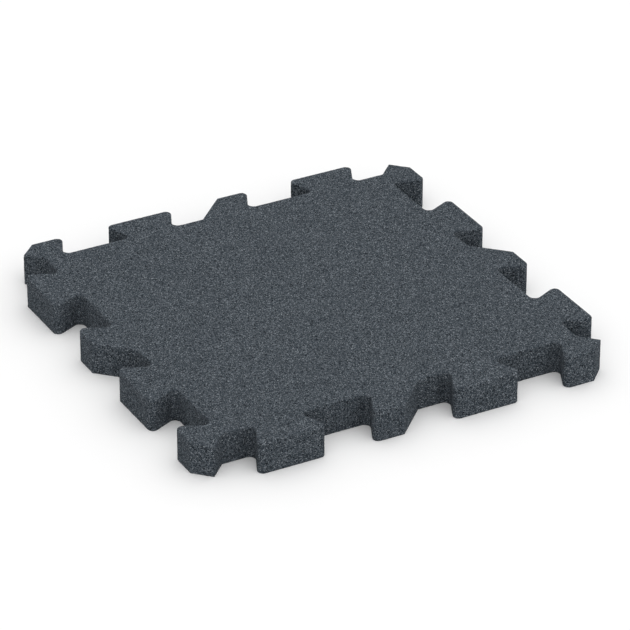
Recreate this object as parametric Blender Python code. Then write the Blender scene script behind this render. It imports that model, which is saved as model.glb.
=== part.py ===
"""Interlocking gym mat: one square slab of pressed rubber crumb with dovetail teeth on all four sides.

Units are metres and +Z is up. The mat lies flat, its underside on z = 0, with the origin under its centre.
Its sides run along X and Y, and a quarter turn about Z carries each side onto the next one.
"""

from math import pi, radians, tan

import bmesh
import bpy
from mathutils import Matrix, Vector

# Driving dimensions of the slab
LAYING_SIZE = 0.500  # distance from one laid mat to the next, centre to centre
THICKNESS = 0.040
FIT_GAP = 0.0003  # gap between two laid mats, half of it taken from each outline
TOP_EDGE_RADIUS = 0.0012
TOP_EDGE_SEGMENTS = 2
SMOOTH_ANGLE = radians(30)

# Driving dimensions of the teeth
TOOTH_DEPTH = 0.040  # from the root of a notch to the tip of a tooth, half on each side of the laying line
DOVETAIL_LEAN = radians(25)  # how far a dovetail wall leans from square to the side
DOVETAIL_RADIUS = 0.007  # rounding of a dovetail wall, at its root and at its tip
ARC_SEGMENTS = 6
QUARTER_WALL = LAYING_SIZE / 4  # from the middle of a side to the dovetail wall halfway along each half
WALL_SPACING = 0.073  # from that wall to the dovetail wall on either side of it

# Looks
RUBBER_COLOUR = (0.075, 0.088, 0.103, 1.0)
RUBBER_ROUGHNESS = 0.92


def clear_scene():
    for old in list(bpy.data.objects):
        bpy.data.objects.remove(old)


def side_corners():
    """The sharp corners of the front side, from left to right, each with the radius that rounds it.

    The side runs along X at y = -LAYING_SIZE / 2. It is the same after half a turn about its own middle,
    so the teeth of one mat fill the notches of the next.
    """
    half = LAYING_SIZE / 2
    reach = TOOTH_DEPTH / 2
    root, tip = reach - half, -reach - half
    lean = reach * tan(DOVETAIL_LEAN)
    inner_wall = QUARTER_WALL - WALL_SPACING
    outer_wall = QUARTER_WALL + WALL_SPACING

    def wall(x, first, last):
        """A dovetail wall that crosses the laying line at x, from the level first to the level last."""
        return [(x + lean, first, DOVETAIL_RADIUS), (x - lean, last, DOVETAIL_RADIUS)]

    return [
        (-half, -half, 0.0),
        (reach - half, root, 0.0),
        *wall(-outer_wall, root, tip),
        *wall(-QUARTER_WALL, tip, root),
        *wall(-inner_wall, root, tip),
        (-reach, tip, 0.0),
        (reach, root, 0.0),
        *wall(inner_wall, root, tip),
        *wall(QUARTER_WALL, tip, root),
        *wall(outer_wall, root, tip),
        (half - reach, tip, 0.0),
    ]


def mat_corners():
    """The sharp corners of the whole outline, anticlockwise, as points and radii."""
    corners = []
    for quarter in range(4):
        turn = Matrix.Rotation(quarter * pi / 2, 2)
        corners += [(turn @ Vector((x, y)), radius) for x, y, radius in side_corners()]
    return corners


def edge_directions(corners, i):
    """Unit directions along the outline into corner i and out of it."""
    previous, here, following = (corners[(i + step) % len(corners)][0] for step in (-1, 0, 1))
    return (here - previous).normalized(), (following - here).normalized()


def inset(corners, distance):
    """The outline with every edge moved inwards, and each rounding kept parallel to its old place."""
    moved = []
    for i, (here, radius) in enumerate(corners):
        into, out_of = edge_directions(corners, i)
        turning = into.x * out_of.y - into.y * out_of.x
        # the point that lies at this distance inside both edges
        shift = (into - out_of) * (-distance / turning)
        kept = radius - distance if turning > 0 else radius + distance
        moved.append((here + shift, kept if radius else 0.0))
    return moved


def rounded(corners):
    """The outline's points, with an arc in place of each corner that has a radius."""
    points = []
    for i, (here, radius) in enumerate(corners):
        if not radius:
            points.append(here)
            continue
        into, out_of = edge_directions(corners, i)
        turn = -into.angle_signed(out_of)
        side = 1 if turn > 0 else -1
        start = here - into * (radius * tan(abs(turn) / 2))
        centre = start + Vector((-into.y, into.x)) * (radius * side)
        for step in range(ARC_SEGMENTS + 1):
            angle = turn * step / ARC_SEGMENTS
            points.append(centre + Matrix.Rotation(angle, 2) @ (start - centre))
    return points


def rubber_material():
    material = bpy.data.materials.new("rubber_crumb")
    material.use_nodes = True
    shader = material.node_tree.nodes["Principled BSDF"]
    shader.inputs["Base Color"].default_value = RUBBER_COLOUR
    shader.inputs["Roughness"].default_value = RUBBER_ROUGHNESS
    shader.inputs["Metallic"].default_value = 0.0
    return material


def make_mat():
    """The slab: the outline raised to its thickness, with the top edge rounded over."""
    outline = rounded(inset(mat_corners(), FIT_GAP / 2))
    slab = bmesh.new()
    underside = slab.faces.new([slab.verts.new((point.x, point.y, 0.0)) for point in outline])
    raised = bmesh.ops.extrude_face_region(slab, geom=[underside])["geom"]
    top_points = [item for item in raised if isinstance(item, bmesh.types.BMVert)]
    bmesh.ops.translate(slab, verts=top_points, vec=(0.0, 0.0, THICKNESS))
    bmesh.ops.recalc_face_normals(slab, faces=slab.faces)
    top_face = next(item for item in raised if isinstance(item, bmesh.types.BMFace))
    bmesh.ops.bevel(
        slab,
        geom=list(top_face.edges),
        offset=TOP_EDGE_RADIUS,
        offset_type="OFFSET",
        segments=TOP_EDGE_SEGMENTS,
        profile=0.5,
        affect="EDGES",
    )
    mesh = bpy.data.meshes.new("gym_mat")
    slab.to_mesh(mesh)
    slab.free()
    mesh.shade_smooth()
    mesh.set_sharp_from_angle(angle=SMOOTH_ANGLE)
    mesh.materials.append(rubber_material())
    mat = bpy.data.objects.new("gym_mat", mesh)
    bpy.context.scene.collection.objects.link(mat)


def main():
    clear_scene()
    make_mat()


main()
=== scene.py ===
from math import cos, pi, radians, sin, tan

import bpy
import numpy as np
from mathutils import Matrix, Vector
from mathutils.geometry import delaunay_2d_cdt


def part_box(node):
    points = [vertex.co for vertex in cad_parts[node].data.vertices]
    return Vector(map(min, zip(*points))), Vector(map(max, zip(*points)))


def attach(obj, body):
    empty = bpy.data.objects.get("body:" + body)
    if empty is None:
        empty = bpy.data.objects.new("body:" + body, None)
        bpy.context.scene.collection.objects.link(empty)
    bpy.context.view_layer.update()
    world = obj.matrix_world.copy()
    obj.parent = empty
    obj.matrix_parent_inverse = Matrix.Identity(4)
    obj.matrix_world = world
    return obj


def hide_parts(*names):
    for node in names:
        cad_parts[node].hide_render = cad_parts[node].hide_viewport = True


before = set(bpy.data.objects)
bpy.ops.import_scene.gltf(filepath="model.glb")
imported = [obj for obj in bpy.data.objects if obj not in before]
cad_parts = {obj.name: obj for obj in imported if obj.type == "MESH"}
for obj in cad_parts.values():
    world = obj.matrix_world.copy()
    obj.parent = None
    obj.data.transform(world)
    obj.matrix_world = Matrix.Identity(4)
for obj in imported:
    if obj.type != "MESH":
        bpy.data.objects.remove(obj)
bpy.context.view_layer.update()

matLow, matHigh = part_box("gym_mat")

viewpoint = {
    "azimuth": radians(-28.361),
    "elevation": radians(29.403),
    "distance": 4.746,
    "slideRight": 0.00967,  # how far the aim passes the mat's centre, across and up the picture
    "slideUp": 0.01294,
    "lens": 230.33,
    "sensor": 36.0,
    "clipEnd": 60.0,
}


# Camera: it looks along the direction of azimuth and elevation, moved sideways without turning, so that
# place = distance * back + slideRight * right + slideUp * up.
def setCamera():
    az, el = viewpoint["azimuth"], viewpoint["elevation"]
    back = np.array([sin(az) * cos(el), -cos(az) * cos(el), sin(el)])
    right = np.array([cos(az), sin(az), 0.0])
    up = np.cross(back, right)
    camera = bpy.data.cameras.new("camera")
    camera.sensor_width = viewpoint["sensor"]
    camera.lens = viewpoint["lens"]
    camera.clip_end = viewpoint["clipEnd"]
    holder = bpy.data.objects.new("camera", camera)
    place = viewpoint["distance"] * back + viewpoint["slideRight"] * right + viewpoint["slideUp"] * up
    holder.location = place
    holder.rotation_euler = Vector(-back).to_track_quat("-Z", "Y").to_euler()
    bpy.context.scene.collection.objects.link(holder)
    bpy.context.scene.camera = holder


# The outline repeats the solid's own: its overall size comes from the frame, the teeth from here (metres).
matShape = {
    "toothDepth": 0.040,
    "fitGap": 0.0003,  # left between two laid mats
    "dovetailLean": radians(25),
    "dovetailRadius": 0.007,
    "wallSpacing": 0.073,  # between neighbouring dovetail walls
    "thickness": matHigh[2] - matLow[2],
}
matShape["layingSize"] = matHigh[0] - matLow[0] - matShape["toothDepth"] + matShape["fitGap"]


# Corners of the front side, left to right, each with its rounding. A dovetail wall crosses the laying line
# at x and leans by reach * tan(lean) either way.
def frontCorners():
    half, reach = matShape["layingSize"] / 2, matShape["toothDepth"] / 2
    root, tip = reach - half, -reach - half
    lean, rounding = reach * tan(matShape["dovetailLean"]), matShape["dovetailRadius"]
    quarter, spacing = half / 2, matShape["wallSpacing"]
    corners = [(-half, -half, 0.0), (reach - half, root, 0.0)]
    for middle in (-quarter, quarter):
        for x, first, last in (
            (middle - spacing, root, tip),
            (middle, tip, root),
            (middle + spacing, root, tip),
        ):
            corners += [(x + lean, first, rounding), (x - lean, last, rounding)]
        if middle < 0:
            corners += [(-reach, tip, 0.0), (reach, root, 0.0)]
    corners.append((half - reach, tip, 0.0))
    return np.array(corners)


# Corners of the whole outline: the front side turned by 0, 90, 180 and 270 degrees, then every edge moved
# inwards by half the fit gap. A corner moves by (into - outOf) * -gap / cross(into, outOf).
def allCorners():
    front = frontCorners()
    turned = []
    for quarter in range(4):
        c, s = cos(quarter * pi / 2), sin(quarter * pi / 2)
        turned.append(front[:, :2] @ np.array([[c, s], [-s, c]]))
    places, rounding = np.vstack(turned), np.tile(front[:, 2], 4)
    into = places - np.roll(places, 1, axis=0)
    into /= np.linalg.norm(into, axis=1)[:, None]
    outOf = np.roll(into, -1, axis=0)
    turning = into[:, 0] * outOf[:, 1] - into[:, 1] * outOf[:, 0]
    inward = (outOf - into) / turning[:, None]
    gap = matShape["fitGap"] / 2
    places = places + inward * gap
    rounding = np.where(rounding > 0, rounding - gap * np.sign(turning), 0.0)
    return places, rounding, into, outOf, turning, inward


# The outline as a path: points p and inward vectors m, so that p + m * d is the same outline moved inwards
# by d. Straight runs are evenly divided, and a rounded corner is an arc of its radius.
def outlinePath(step):
    places, rounding, into, outOf, turning, inward = allCorners()
    fewestOnArc = 4
    points, moves = [], []
    starts, ends = [], []
    for i in range(len(places)):
        if rounding[i] == 0:
            arc, arcMoves = places[i : i + 1], inward[i : i + 1]
        else:
            side = np.sign(turning[i])
            turn = np.arctan2(turning[i], into[i] @ outOf[i])
            start = places[i] - into[i] * rounding[i] * tan(abs(turn) / 2)
            normal = np.array([-into[i, 1], into[i, 0]]) * side
            centre = start + normal * rounding[i]
            count = max(fewestOnArc, round(rounding[i] * abs(turn) / step))
            angle = turn * np.arange(count + 1) / count
            c, s = np.cos(angle), np.sin(angle)
            spoke = np.stack([-normal[0] * c + normal[1] * s, -normal[0] * s - normal[1] * c], axis=1)
            arc, arcMoves = centre + spoke * rounding[i], -spoke * side
        points.append(arc)
        moves.append(arcMoves)
        starts.append(arc[0])
        ends.append(arc[-1])
    wholePoints, wholeMoves = [], []
    for i in range(len(points)):
        following = starts[(i + 1) % len(points)]
        count = max(1, round(np.linalg.norm(following - ends[i]) / step))
        share = (np.arange(1, count) / count)[:, None]
        straight = ends[i] + (following - ends[i]) * share
        leftOf = np.array([-outOf[i, 1], outOf[i, 0]])
        wholePoints += [points[i], straight]
        wholeMoves += [moves[i], np.tile(leftOf, (len(straight), 1))]
    return np.vstack(wholePoints), np.vstack(wholeMoves)


# Which places lie inside a closed outline by more than margin: the crossing count of a ray along +X is
# odd, and the distance to the nearest edge is over margin. A portion is taken at a time to save memory.
def insideOutline(places, outline, margin):
    a, b = outline, np.roll(outline, -1, axis=0)
    run = b - a
    length2 = (run**2).sum(axis=1)
    kept = np.empty(len(places), bool)
    portion = 1500
    for first in range(0, len(places), portion):
        q = places[first : first + portion, None, :]
        crosses = (a[:, 1] > q[..., 1]) != (b[:, 1] > q[..., 1])
        rise = np.where(run[:, 1] == 0, 1.0, run[:, 1])
        reached = a[:, 0] + (q[..., 1] - a[:, 1]) / rise * run[:, 0]
        odd = (crosses & (q[..., 0] < reached)).sum(axis=1) % 2 == 1
        along = np.clip(((q - a) * run).sum(axis=2) / length2, 0.0, 1.0)
        away2 = ((a + run * along[..., None] - q) ** 2).sum(axis=2).min(axis=1)
        kept[first : first + portion] = odd & (away2 > margin**2)
    return kept


# A hexagonal lattice of places over the mat, each wandering by up to scatter * step, kept inside the
# outline. Those in the core, the square between the roots of all notches, need no test.
def scatteredPlaces(outline, step, scatter, margin, rng):
    reach, coreMargin = matHigh[0], 0.003
    across, down = np.arange(-reach, reach, step), np.arange(-reach, reach, step * sin(pi / 3))
    x, y = np.meshgrid(across, down)
    x = x + step / 2 * (np.arange(len(down)) % 2)[:, None]
    places = np.stack([x.ravel(), y.ravel()], axis=1)
    angle = rng.uniform(0, 2 * pi, len(places))
    far = scatter * step * np.sqrt(rng.random(len(places)))
    places += np.stack([np.cos(angle) * far, np.sin(angle) * far], axis=1)
    core = matShape["layingSize"] / 2 - matShape["toothDepth"] / 2 - margin - coreMargin
    kept = np.abs(places).max(axis=1) < core
    edge = np.nonzero(~kept)[0]
    kept[edge] = insideOutline(places[edge], outline, margin)
    return places[kept]


# Triangles over a closed ring of places and the loose places inside it, numbered ring first. Those that
# bridge a notch have all three points on the ring and their middle outside it, and are left out.
def fillRing(ring, loose):
    everything = np.vstack([ring, loose])
    points, sameWithin = [Vector(q) for q in everything.tolist()], 1e-7
    found = delaunay_2d_cdt(points, [], [list(range(len(ring)))], 0, sameWithin, True)
    source = np.array([back[0] for back in found[3]])
    faces = source[np.array(found[2])]
    onRing = np.nonzero((faces < len(ring)).all(axis=1))[0]
    middles = everything[faces[onRing]].mean(axis=1)
    faces = np.delete(faces, onRing[~insideOutline(middles, ring, 0.0)], axis=0)
    a, b, c = (everything[faces[:, k]] for k in range(3))
    spin = (b[:, 0] - a[:, 0]) * (c[:, 1] - a[:, 1]) - (b[:, 1] - a[:, 1]) * (c[:, 0] - a[:, 0])
    faces[spin < 0] = faces[spin < 0][:, ::-1]
    return faces


pressedSkin = {
    "seed": 11,
    "outlineStep": 0.0022,
    "wallStep": 0.0023,
    "topStep": 0.0022,
    "undersideStep": 0.0065,
    "topEdgeRadius": 0.0015,
    "bottomEdgeRadius": 0.0006,
    "scatter": 0.30,  # how far a point wanders from its lattice place, in steps
    "wallWander": 0.25,  # the same up and down the sides
    "topMargin": 0.6,  # bare strip inside the ring round the top, and round the underside, in steps
    "undersideMargin": 0.4,
    "evenDip": 0.00007,  # usual depth of the grain between crumbs
    "pitShare": 0.10,
    "pitDepth": 0.00035,
}


# Depth of the pressed surface under the nominal one: |gauss| * evenDip, and in a few places a pit as well.
def pressedDip(count, rng):
    dip = np.abs(rng.normal(size=count)) * pressedSkin["evenDip"]
    pit = rng.random(count) < pressedSkin["pitShare"]
    return dip + pit * pressedSkin["pitDepth"] * rng.random(count)


# The rows of the profile that is carried round the outline, from the underside to the top: how far each
# lies inside the outline, its height, and its outward direction as (sideways, up).
def sideProfile():
    top = matShape["thickness"]
    low, high = pressedSkin["bottomEdgeRadius"], pressedSkin["topEdgeRadius"]
    lowTurns = (0, radians(45), radians(90))
    highTurns = (0, radians(30), radians(60), radians(90))
    rows = [(low * (1 - sin(a)), low * (1 - cos(a)), sin(a), -cos(a)) for a in lowTurns]
    count = round((top - low - high) / pressedSkin["wallStep"])
    rows += [(0.0, low + (top - low - high) * k / count, 1.0, 0.0) for k in range(1, count)]
    for a in highTurns:
        rows.append((high * (1 - cos(a)), top - high * (1 - sin(a)), cos(a), sin(a)))
    return np.array(rows)


# The slab's whole surface as one closed mesh. Sides: (s, row) -> p(s) + m(s) * inset(row), at height(row).
# Top and underside: triangles between scattered places. Every point then sinks by its dip along the inward
# direction, so the slab stays inside its nominal size.
def pressedSlab():
    rng = np.random.default_rng(pressedSkin["seed"])
    p, m = outlinePath(pressedSkin["outlineStep"])
    rows = sideProfile()
    n, r = len(p), len(rows)
    dip = pressedDip(n * r, rng).reshape(r, n)
    dip[0] = 0.0  # the lowest row stays on the floor
    inset = rows[:, 0][:, None] + dip * rows[:, 2][:, None]
    height = rows[:, 1][:, None] - dip * rows[:, 3][:, None]
    middle = (rows[:, 2] == 1.0)[:, None]
    wander = pressedSkin["wallWander"]
    height = height + middle * rng.uniform(-wander, wander, (r, n)) * pressedSkin["wallStep"]
    sides = np.empty((r, n, 3))
    sides[:, :, :2] = p + m * inset[:, :, None]
    sides[:, :, 2] = height

    topRing, topStep = p + m * rows[-1, 0], pressedSkin["topStep"]
    topMargin = pressedSkin["topMargin"] * topStep
    topLoose = scatteredPlaces(topRing, topStep, pressedSkin["scatter"], topMargin, rng)
    topFaces = fillRing(topRing, topLoose)
    lowRing, lowStep = p + m * rows[0, 0], pressedSkin["undersideStep"]
    lowMargin = pressedSkin["undersideMargin"] * lowStep
    lowLoose = scatteredPlaces(lowRing, lowStep, pressedSkin["scatter"], lowMargin, rng)
    lowFaces = fillRing(lowRing, lowLoose)
    print("slab:", n, "points round,", len(topLoose), "on the top,", len(lowLoose), "underneath")

    top3d = np.column_stack([topLoose, matShape["thickness"] - pressedDip(len(topLoose), rng)])
    low3d = np.column_stack([lowLoose, pressedDip(len(lowLoose), rng)])
    points = np.vstack([sides.reshape(-1, 3), top3d, low3d])

    here = np.arange(n)
    after = (here + 1) % n
    level = (np.arange(r - 1) * n)[:, None]
    quads = np.stack([level + here, level + after, level + n + after, level + n + here], axis=2)
    quads = quads.reshape(-1, 4)
    topAt = np.where(topFaces < n, topFaces + (r - 1) * n, topFaces - n + r * n)
    lowAt = np.where(lowFaces < n, lowFaces, lowFaces - n + r * n + len(topLoose))[:, ::-1]

    wholeMap = slabMap(p, rows, points[topAt][..., :2], points[lowAt][..., :2])
    return meshPiece("pressed_crumb_slab", points, [quads, np.vstack([topAt, lowAt])], wholeMap)


# The slab's map, in the order of its faces: four side strips at the top, the top face below them and the
# underside small beside it. Sides: u = length along the outline since the last quarter turn, v = length up
# the profile. Top and underside: u, v = x, y and -x, y. All are scaled and moved to their places.
def slabMap(p, rows, topCorners, lowCorners):
    usedWidth, topWidest = 0.985, 0.66
    stripGap, stripLeft, faceGap, betweenFaces, edge = 0.006, 0.005, 0.012, 0.01, 0.004
    n, r = len(p), len(rows)
    s = np.concatenate([[0.0], np.cumsum(np.linalg.norm(np.roll(p, -1, axis=0) - p, axis=1))])
    scale = usedWidth / (s[-1] / 4)
    strip = matShape["thickness"] * scale + stripGap
    quarter = np.arange(n) // (n // 4)
    since = s[quarter * (n // 4)]
    rowAt = np.concatenate([[0.0], np.cumsum(np.linalg.norm(np.diff(rows[:, :2], axis=0), axis=1))])
    u0 = np.tile((s[:-1] - since) * scale + stripLeft, (r - 1, 1))
    u1 = np.tile((s[1:] - since) * scale + stripLeft, (r - 1, 1))
    v0 = 1 - strip * (quarter + 1)[None, :] + rowAt[:-1, None] * scale
    v1 = 1 - strip * (quarter + 1)[None, :] + rowAt[1:, None] * scale
    corners = [np.stack(pair, axis=2) for pair in ((u0, v0), (u1, v0), (u1, v1), (u0, v1))]
    sideMap = np.stack(corners, axis=2).reshape(-1, 2)

    reach = matHigh[0]
    topScale = min(1 - 4 * strip - faceGap, topWidest) / (2 * reach)
    topWidth = 2 * reach * topScale
    lowScale = (usedWidth - topWidth - betweenFaces) / (2 * reach)
    topMap = (topCorners + reach) * topScale + edge
    lowMap = (lowCorners * [-1, 1] + reach) * lowScale + [topWidth + faceGap, edge]
    return np.vstack([sideMap, topMap.reshape(-1, 2), lowMap.reshape(-1, 2)])


# A mesh piece from whole arrays of points and faces, with its map in the order of the faces' corners.
def meshPiece(name, points, faceArrays, wholeMap):
    mesh = bpy.data.meshes.new(name)
    corners = np.concatenate([f.ravel() for f in faceArrays]).astype(np.int32)
    sizes = np.concatenate([np.full(len(f), f.shape[1]) for f in faceArrays])
    starts = np.concatenate([[0], np.cumsum(sizes)[:-1]]).astype(np.int32)
    mesh.vertices.add(len(points))
    mesh.vertices.foreach_set("co", np.ascontiguousarray(points, np.float32).ravel())
    mesh.loops.add(len(corners))
    mesh.loops.foreach_set("vertex_index", corners)
    mesh.polygons.add(len(sizes))
    mesh.polygons.foreach_set("loop_start", starts)
    mesh.update(calc_edges=True)
    layer = mesh.uv_layers.new(name="OFBake")
    layer.uv.foreach_set("vector", np.ascontiguousarray(wholeMap, np.float32).ravel())
    mesh.shade_smooth()
    mesh.validate()
    piece = bpy.data.objects.new(name, mesh)
    bpy.context.scene.collection.objects.link(piece)
    return piece


proudCrumb = {
    "seed": 23,
    "topPitch": 0.0032,
    "topScatter": 0.42,
    "topCount": 16000,
    "sideCount": 9000,
    "sideStep": 0.0004,  # spacing of the places on the outline where side crumbs may sit
    "edgeStrip": 0.0006,  # kept bare inside the outline of the top
    "smallest": 0.00032,  # half width of a crumb
    "largest": 0.00072,
    "height": 0.0007,
    "tilt": 0.10,
    "sunk": 0.00015,  # the most that a crumb lies under the nominal face
    "wideSpread": (0.85, 1.2),  # corners of the base and of the smaller top, in half widths
    "smallSpread": (0.55, 0.85),
    "stretch": (0.7, 1.0),
    "fromFloor": 1.3,  # how near a side crumb comes to the floor, in largest half widths
    "fromTopEdge": 0.3,  # and to the rounded top edge
    "roughness": 0.85,
    "mapSpread": (0.38, 0.24),  # base and top in their cell of the map
}


# Crumb shards: a turned square frustum each, base ring of 4 points and a smaller top ring of 4, an eighth
# of a turn apart. corner = centre + size * (cos t * across + sin t * along) + lift * up, with every size
# uneven.
def crumbShards(name, centre, across, along, up, rng):
    n = len(centre)
    half = rng.uniform(proudCrumb["smallest"], proudCrumb["largest"], n)[:, None]
    spin = rng.uniform(0, 2 * pi, n)[:, None]
    ring = np.arange(4) * pi / 2
    wide = half * rng.uniform(*proudCrumb["wideSpread"], (n, 4))
    small = half * rng.uniform(*proudCrumb["smallSpread"], (n, 4))
    stretch = rng.uniform(*proudCrumb["stretch"], n)[:, None]
    slopeX, slopeY = rng.normal(0, proudCrumb["tilt"], (2, n, 1))
    corners = []
    rings = ((wide, ring + spin, -proudCrumb["height"]), (small, ring + pi / 4 + spin, 0.0))
    for radius, angle, lift in rings:
        x, y = radius * np.cos(angle), radius * np.sin(angle) * stretch
        rise = slopeX * x + slopeY * y
        z = lift + (rise - rise.max(axis=1, keepdims=True)) * (lift == 0.0)
        flat = centre[:, None] + across[:, None] * x[..., None] + along[:, None] * y[..., None]
        corners.append(flat + up[:, None] * z[..., None])
    points = np.concatenate(corners, axis=1).reshape(-1, 3)
    k = np.arange(4)
    low, after, top, before = k, (k + 1) % 4, k + 4, (k + 3) % 4 + 4
    walls = np.vstack([np.stack([low, after, top], 1), np.stack([low, top, before], 1)])
    caps = np.array([[4, 5, 6, 7], [3, 2, 1, 0]])
    first = (np.arange(n) * 8)[:, None, None]
    triangles = (first + walls).reshape(-1, 3)
    quads = (first + caps).reshape(-1, 4)

    # The map gives each shard a cell of its own, as its colour is the same all over.
    side = int(np.ceil(np.sqrt(n)))
    cell = np.stack([np.arange(n) % side, np.arange(n) // side], axis=1)
    turn = np.concatenate([k * pi / 2, k * pi / 2 + pi / 4])
    reach = np.repeat(proudCrumb["mapSpread"], 4)[:, None]
    spread = np.stack([np.cos(turn), np.sin(turn)], 1) * reach + 0.5
    cornerMap = (cell[:, None] + spread) / side
    flatMap = cornerMap.reshape(-1, 2)
    wholeMap = np.vstack([flatMap[triangles.ravel()], flatMap[quads.ravel()]])
    piece = meshPiece(name, points, [triangles, quads], wholeMap)
    tone = piece.data.attributes.new("crumbTone", "FLOAT", "POINT")
    tone.data.foreach_set("value", np.repeat(rng.random(n), 8).astype(np.float32))
    return piece


# Crumbs on the top: a random choice of the places of a lattice, each up to sunk below the nominal face.
def topCrumbs():
    rng = np.random.default_rng(proudCrumb["seed"])
    p, m = outlinePath(pressedSkin["outlineStep"])
    ring = p + m * proudCrumb["edgeStrip"]
    margin = proudCrumb["largest"]
    places = scatteredPlaces(ring, proudCrumb["topPitch"], proudCrumb["topScatter"], margin, rng)
    places = places[rng.permutation(len(places))[: proudCrumb["topCount"]]]
    n = len(places)
    height = matShape["thickness"] - rng.uniform(0.0, proudCrumb["sunk"], n)
    centre = np.column_stack([places, height])
    axes = [np.tile(axis, (n, 1)) for axis in ([1.0, 0, 0], [0, 1.0, 0], [0, 0, 1.0])]
    return crumbShards("proud_crumb_top", centre, *axes, rng)


# Crumbs on the sides: a random place p + m * sunk along the outline at a random height, facing outwards.
def sideCrumbs():
    rng = np.random.default_rng(proudCrumb["seed"] + 1)
    p, m = outlinePath(proudCrumb["sideStep"])
    edge = proudCrumb["largest"]
    count = proudCrumb["sideCount"]
    at = (rng.random(count) * len(p)).astype(int)
    highest = matShape["thickness"] - pressedSkin["topEdgeRadius"] - proudCrumb["fromTopEdge"] * edge
    height = rng.uniform(proudCrumb["fromFloor"] * edge, highest, count)
    outward = -m[at] / np.linalg.norm(m[at], axis=1)[:, None]
    outward = np.column_stack([outward, np.zeros(count)])
    up = np.tile([0.0, 0, 1.0], (count, 1))
    sunk = rng.uniform(0.0, proudCrumb["sunk"], count)[:, None]
    centre = np.column_stack([p[at] + m[at] * sunk, height])
    return crumbShards("proud_crumb_sides", centre, np.cross(up, outward), up, outward, rng)


# A colour ramp with one element for each (position, colour).
def colourRamp(nodes, stops):
    ramp = nodes.new("ShaderNodeValToRGB")
    elements = ramp.color_ramp.elements
    while len(elements) < len(stops):
        elements.new(0.5)
    for element, (at, colour) in zip(elements, stops):
        element.position = at
        element.color = (*colour, 1.0)
    return ramp


# A Math node over numbers and sockets, and its result.
def mathNode(nodes, links, operation, *values):
    node = nodes.new("ShaderNodeMath")
    node.operation = operation
    for socket, value in zip(node.inputs, values):
        if isinstance(value, (int, float)):
            socket.default_value = value
        else:
            links.new(value, socket)
    return node.outputs["Value"]


crumbFinish = {
    "crumbSize": 0.00085,
    "rubber": (0.0733, 0.0876, 0.1028),  # middle tone
    "toneSpread": 0.66,  # each crumb's tone is the middle one times exp(toneSpread * a normal deviate)
    "roughness": (0.78, 0.96),
    "specular": 0.03,
    "lowestCrumb": 0.4,  # height of the flattest crumb, as a share of the tallest
    "seamWidth": 0.14,  # in crumb sizes
    "seamPaintedShade": 0.50,  # share of the tone that is left in a seam: painted shade in the crevice between crumbs
    "paintedHollowSpacing": 0.0032,  # how far apart the painted hollows are, where painted shade stands in for a missing crumb
    "paintedHollowEdge": (0.20, 0.36),  # where the painted shade of a hollow begins to pale and where it ends, in spacings
    "paintedHollowShade": 0.30,  # share of the tone that is left there, as painted shade
    "bumpDepth": 0.00010,
}


# Tones of single crumbs: the ramp follows the quantiles of the spread, so that an even number gives an
# uneven crop. Green is the middle tone's times exp(toneSpread * deviate). Red and blue keep the middle
# tone's distance from it in screen values, gain * light^(1 / power) - offset, so that pale crumbs are
# greyer than dark ones.
def toneStops():
    shares = [0.0, 0.08, 0.25, 0.5, 0.75, 0.92, 1.0]
    deviates = np.array([-2.1, -1.405, -0.674, 0.0, 0.674, 1.405, 2.3])
    gain, offset, power = 1.055, 0.055, 2.4
    middle = np.array(crumbFinish["rubber"])
    onScreen = gain * middle ** (1 / power) - offset
    greens = middle[1] * np.exp(crumbFinish["toneSpread"] * deviates)
    screen = (gain * greens ** (1 / power) - offset)[:, None] + onScreen - onScreen[1]
    return list(zip(shares, (((screen + offset) / gain) ** power).tolist()))
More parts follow.
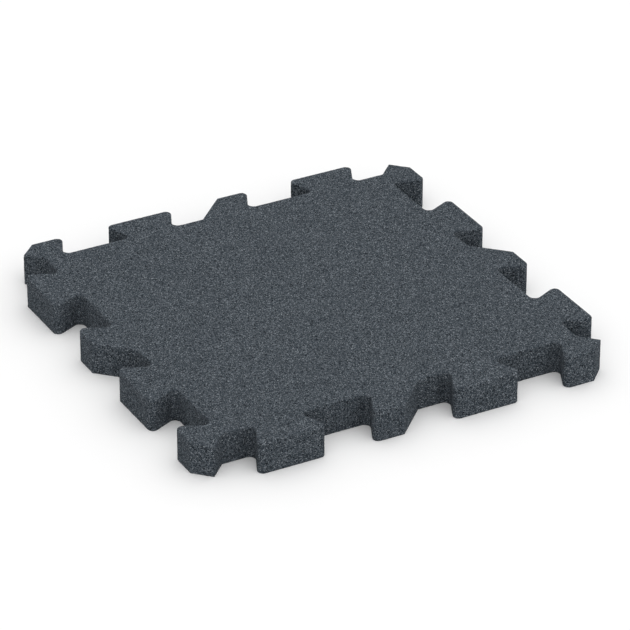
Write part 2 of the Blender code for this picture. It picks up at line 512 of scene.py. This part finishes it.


# Pressed crumb: cells of crumb size, each with its own tone, sunken where two cells meet, with painted
# shade in that crevice, and painted shade darker still where the cell's middle lies near one of the sparse
# void points, as if a crumb were missing there.
def pressedMaterial():
    material = bpy.data.materials.new("pressedCrumb")
    material.use_nodes = True
    nodes, links = material.node_tree.nodes, material.node_tree.links
    shader = nodes["Principled BSDF"]
    shader.inputs["Specular IOR Level"].default_value = crumbFinish["specular"]
    place = nodes.new("ShaderNodeTexCoord").outputs["Object"]

    def cells(size, feature, at):
        voronoi = nodes.new("ShaderNodeTexVoronoi")
        voronoi.feature = feature
        voronoi.inputs["Scale"].default_value = 1 / size
        links.new(at, voronoi.inputs["Vector"])
        return voronoi

    crumb = cells(crumbFinish["crumbSize"], "F1", place)
    seam = cells(crumbFinish["crumbSize"], "DISTANCE_TO_EDGE", place)
    # Sparse points where painted shade stands in for a missing crumb; the shape has no hollow there.
    paintedHollowCells = cells(crumbFinish["paintedHollowSpacing"], "F1", crumb.outputs["Position"])
    tones = nodes.new("ShaderNodeSeparateColor")
    links.new(crumb.outputs["Color"], tones.inputs["Color"])

    ramp = colourRamp(nodes, toneStops())
    links.new(tones.outputs["Red"], ramp.inputs["Fac"])
    seamDepth = nodes.new("ShaderNodeMapRange")
    seamDepth.interpolation_type = "SMOOTHSTEP"
    seamDepth.inputs["From Max"].default_value = crumbFinish["seamWidth"]
    links.new(seam.outputs["Distance"], seamDepth.inputs["Value"])

    # Painted shade in the seams: the tone is darkened where two cells meet.
    paintedSeamShading = nodes.new("ShaderNodeMapRange")
    paintedSeamShading.inputs["To Min"].default_value = crumbFinish["seamPaintedShade"]
    paintedSeamShading.inputs["To Max"].default_value = 1.0
    links.new(seamDepth.outputs["Result"], paintedSeamShading.inputs["Value"])
    # Painted shade near each of those points: the tone is darkened as if a crumb were missing.
    paintedHollowShading = nodes.new("ShaderNodeMapRange")
    paintedHollowShading.interpolation_type = "SMOOTHSTEP"
    inner, outer = crumbFinish["paintedHollowEdge"]
    paintedHollowShading.inputs["From Min"].default_value = inner
    paintedHollowShading.inputs["From Max"].default_value = outer
    paintedHollowShading.inputs["To Min"].default_value = crumbFinish["paintedHollowShade"]
    paintedHollowShading.inputs["To Max"].default_value = 1.0
    links.new(paintedHollowCells.outputs["Distance"], paintedHollowShading.inputs["Value"])
    # Both painted shades, seam and hollow, darken the crumb's tone together.
    paintedShading = mathNode(nodes, links, "MULTIPLY", paintedSeamShading.outputs["Result"], paintedHollowShading.outputs["Result"])
    colour = nodes.new("ShaderNodeVectorMath")
    colour.operation = "SCALE"
    links.new(ramp.outputs["Color"], colour.inputs[0])
    links.new(paintedShading, colour.inputs["Scale"])
    links.new(colour.outputs["Vector"], shader.inputs["Base Color"])

    rough = nodes.new("ShaderNodeMapRange")
    rough.inputs["To Min"].default_value, rough.inputs["To Max"].default_value = crumbFinish["roughness"]
    links.new(tones.outputs["Green"], rough.inputs["Value"])
    links.new(rough.outputs["Result"], shader.inputs["Roughness"])

    lowest = crumbFinish["lowestCrumb"]
    raised = mathNode(nodes, links, "MULTIPLY_ADD", tones.outputs["Blue"], 1 - lowest, lowest)
    relief = mathNode(nodes, links, "MULTIPLY", seamDepth.outputs["Result"], raised)
    bump = nodes.new("ShaderNodeBump")
    bump.inputs["Distance"].default_value = crumbFinish["bumpDepth"]
    links.new(relief, bump.inputs["Height"])
    links.new(bump.outputs["Normal"], shader.inputs["Normal"])
    return material


# Proud crumbs: one tone for each, from the same ramp.
def proudMaterial():
    material = bpy.data.materials.new("proudCrumb")
    material.use_nodes = True
    nodes, links = material.node_tree.nodes, material.node_tree.links
    shader = nodes["Principled BSDF"]
    shader.inputs["Specular IOR Level"].default_value = crumbFinish["specular"]
    tone = nodes.new("ShaderNodeAttribute")
    tone.attribute_name = "crumbTone"
    ramp = colourRamp(nodes, toneStops())
    links.new(tone.outputs["Fac"], ramp.inputs["Fac"])
    links.new(ramp.outputs["Color"], shader.inputs["Base Color"])
    shader.inputs["Roughness"].default_value = proudCrumb["roughness"]
    return material


studio = {
    "domeStrength": 1.208,
    "horizonShare": 0.40,  # of the dome's light that is left at the horizon
    "fullFrom": radians(5.5),  # height above the horizon where the dome reaches its whole light
    "sideFlag": 0.58,  # how much darker the dome is straight to the left and right of the picture
    "rightLean": 0.18,  # how much of that the right gets back, and the left loses again
    "floorSeen": 0.998,  # white paper to the eye
    "floorBounce": 0.68,  # what the same paper sends back to the mat
    "floorHalfWidth": 9.0,
}


# Light: a white dome, by the height z and the sideways share x of a direction, both of unit length,
# strength * (horizonShare to 1, smoothly up to fullFrom) * (1 + x * (rightLean - sideFlag * x)).
# To the eye it is plain white, so that no horizon shows behind the floor.
def setDome():
    world = bpy.data.worlds.new("dome")
    world.use_nodes = True
    nodes, links = world.node_tree.nodes, world.node_tree.links
    background = nodes["Background"]
    background.inputs["Color"].default_value = (1.0, 1.0, 1.0, 1.0)
    direction = nodes.new("ShaderNodeTexCoord").outputs["Generated"]
    split = nodes.new("ShaderNodeSeparateXYZ")
    links.new(direction, split.inputs["Vector"])
    height = mathNode(nodes, links, "ABSOLUTE", split.outputs["Z"])
    rise = nodes.new("ShaderNodeMapRange")
    rise.interpolation_type = "SMOOTHSTEP"
    rise.inputs["From Max"].default_value = sin(studio["fullFrom"])
    rise.inputs["To Min"].default_value = studio["domeStrength"] * studio["horizonShare"]
    rise.inputs["To Max"].default_value = studio["domeStrength"]
    links.new(height, rise.inputs["Value"])
    sideways = nodes.new("ShaderNodeVectorMath")
    sideways.operation = "DOT_PRODUCT"
    sideways.inputs[1].default_value = (cos(viewpoint["azimuth"]), sin(viewpoint["azimuth"]), 0.0)
    links.new(direction, sideways.inputs[0])
    x = sideways.outputs["Value"]
    slope = mathNode(nodes, links, "MULTIPLY_ADD", x, -studio["sideFlag"], studio["rightLean"])
    share = mathNode(nodes, links, "MULTIPLY_ADD", slope, x, 1.0)
    light = mathNode(nodes, links, "MULTIPLY", rise.outputs["Result"], share)
    eye = nodes.new("ShaderNodeLightPath").outputs["Is Camera Ray"]
    links.new(mathNode(nodes, links, "MAXIMUM", light, eye), background.inputs["Strength"])
    bpy.context.scene.world = world


# Floor: matt paper, seen as floorSeen and sending floorBounce of its light back to the mat.
def layFloor():
    half = studio["floorHalfWidth"]
    mesh = bpy.data.meshes.new("floor")
    corners = [(-half, -half, 0), (half, -half, 0), (half, half, 0), (-half, half, 0)]
    mesh.from_pydata(corners, [], [(0, 1, 2, 3)])
    paper = bpy.data.materials.new("paper")
    paper.use_nodes = True
    nodes, links = paper.node_tree.nodes, paper.node_tree.links
    matt = nodes.new("ShaderNodeBsdfDiffuse")
    links.new(matt.outputs["BSDF"], nodes["Material Output"].inputs["Surface"])
    pale = nodes.new("ShaderNodeMapRange")
    pale.inputs["To Min"].default_value = studio["floorBounce"]
    pale.inputs["To Max"].default_value = studio["floorSeen"]
    links.new(nodes.new("ShaderNodeLightPath").outputs["Is Camera Ray"], pale.inputs["Value"])
    links.new(pale.outputs["Result"], matt.inputs["Color"])
    mesh.materials.append(paper)
    floor = bpy.data.objects.new("floor", mesh)
    bpy.context.scene.collection.objects.link(floor)


setCamera()
print("camera set")
setDome()
layFloor()
bpy.context.scene.view_settings.view_transform = "Standard"
print("dome and floor set")

slab = pressedSlab()
slab.data.materials.append(pressedMaterial())
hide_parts("gym_mat")
print("slab pressed,", len(slab.data.loops) - 2 * len(slab.data.polygons), "triangles")

crumbMaterial = proudMaterial()
crumbs = [topCrumbs(), sideCrumbs()]
for piece in crumbs:
    piece.data.materials.append(crumbMaterial)
    print(piece.name + ",", len(piece.data.loops) - 2 * len(piece.data.polygons), "triangles")

for piece in [slab, *crumbs]:
    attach(piece, "root")
